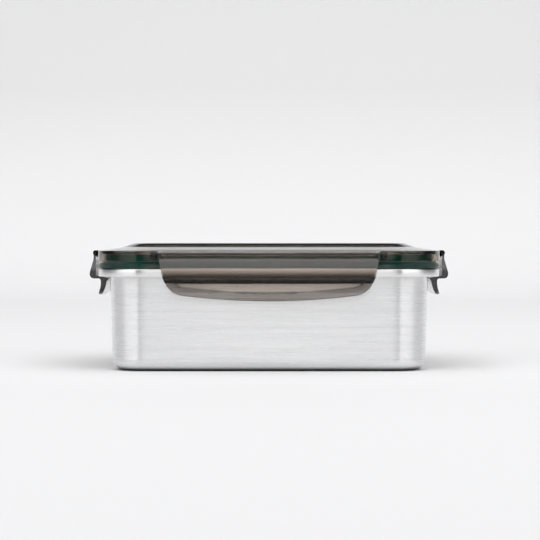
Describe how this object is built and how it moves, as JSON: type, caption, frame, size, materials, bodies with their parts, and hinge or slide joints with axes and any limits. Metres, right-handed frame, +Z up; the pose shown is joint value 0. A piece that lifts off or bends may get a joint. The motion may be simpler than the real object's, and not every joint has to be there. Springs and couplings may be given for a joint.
{
  "type": "lunch box",
  "caption": "Rectangular drawn-steel lunch box with a clear tinted lid, silicone seal and hinged snap-lock latches on every side.",
  "frame": {"origin": "on the table under the middle of the box", "axes": "+X along the box, -Y the front, +Z up"},
  "size_m": [0.204, 0.15, 0.0712],
  "materials": {
    "steel": "brushed with a polished rim",
    "smoke_clear": "clear smoke tint",
    "latch_clear": "clear smoke tint",
    "silicone": "matt silicone",
    "pin_steel": "blackened drawn wire"
  },
  "bodies": {
    "container": {"container": "steel"},
    "lid": {"lid": "smoke_clear", "seal_ring": "silicone"},
    "front_pin": {"front_hinge_pin": "pin_steel"},
    "front_latch": {"front_latch": "latch_clear"},
    "back_pin": {"back_hinge_pin": "pin_steel"},
    "back_latch": {"back_latch": "latch_clear"},
    "left_pin": {"left_hinge_pin": "pin_steel"},
    "left_latch": {"left_latch": "latch_clear"},
    "right_pin": {"right_hinge_pin": "pin_steel"},
    "right_latch": {"right_latch": "latch_clear"}
  },
  "joints": [
    {"name": "lid_lift", "type": "slide", "parent": "container", "child": "lid", "axis": [0, 0, 1], "range_m": [0, 0.016]},
    {"name": "front_pin_turn", "type": "hinge", "parent": "lid", "child": "front_pin", "pos_m": [0, -0.0711, 0.0657], "axis": [-1, 0, 0], "range_deg": [0, 110.1]},
    {"name": "front_latch_swing", "type": "hinge", "parent": "front_pin", "child": "front_latch", "pos_m": [0, -0.0711, 0.0657], "axis": [-1, 0, 0], "range_deg": [0, 100]},
    {"name": "back_pin_turn", "type": "hinge", "parent": "lid", "child": "back_pin", "pos_m": [0, 0.0711, 0.0657], "axis": [1, 0, 0], "range_deg": [0, 110.1]},
    {"name": "back_latch_swing", "type": "hinge", "parent": "back_pin", "child": "back_latch", "pos_m": [0, 0.0711, 0.0657], "axis": [1, 0, 0], "range_deg": [0, 100]},
    {"name": "left_pin_turn", "type": "hinge", "parent": "lid", "child": "left_pin", "pos_m": [-0.0981, 0, 0.0657], "axis": [0, 1, 0], "range_deg": [0, 110.1]},
    {"name": "left_latch_swing", "type": "hinge", "parent": "left_pin", "child": "left_latch", "pos_m": [-0.0981, 0, 0.0657], "axis": [0, 1, 0], "range_deg": [0, 100]},
    {"name": "right_pin_turn", "type": "hinge", "parent": "lid", "child": "right_pin", "pos_m": [0.0981, 0, 0.0657], "axis": [0, -1, 0], "range_deg": [0, 110.1]},
    {"name": "right_latch_swing", "type": "hinge", "parent": "right_pin", "child": "right_latch", "pos_m": [0.0981, 0, 0.0657], "axis": [0, -1, 0], "range_deg": [0, 100]}
  ],
  "couplings": [
    {"joint": "front_pin_turn", "follows": "lid_lift", "rad_per_m": 120},
    {"joint": "back_pin_turn", "follows": "lid_lift", "rad_per_m": 120},
    {"joint": "left_pin_turn", "follows": "lid_lift", "rad_per_m": 120},
    {"joint": "right_pin_turn", "follows": "lid_lift", "rad_per_m": 120}
  ]
}
